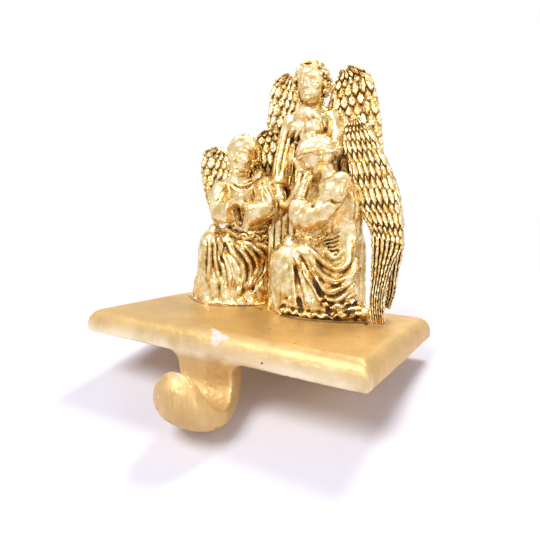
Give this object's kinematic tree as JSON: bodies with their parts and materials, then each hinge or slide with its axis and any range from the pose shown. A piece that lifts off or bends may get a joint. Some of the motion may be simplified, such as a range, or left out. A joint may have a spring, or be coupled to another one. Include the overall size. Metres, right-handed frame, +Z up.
{
  "type": "mantel stocking holder",
  "caption": "Weighted mantel stocking holder: a rectangular cast plate with a rolled edge, a J-hook below its front edge and a gilt group of angels on top.",
  "frame": {"origin": "middle of the plate's underside, on the mantel top", "axes": "+X to the right of someone facing the mantel, -Y towards that person, the side of the hook, +Z up"},
  "size_m": [0.114, 0.0963, 0.1314],
  "materials": {
    "gold_paint": "satin gold paint with fine flecks, worn paler along the front lip",
    "gold_leaf": "glossy gold leaf over a red-brown ground that shows in the hollows"
  },
  "bodies": {
    "root": {"base_and_hook": "gold_paint", "angel_group": "gold_leaf"}
  },
  "joints": []
}
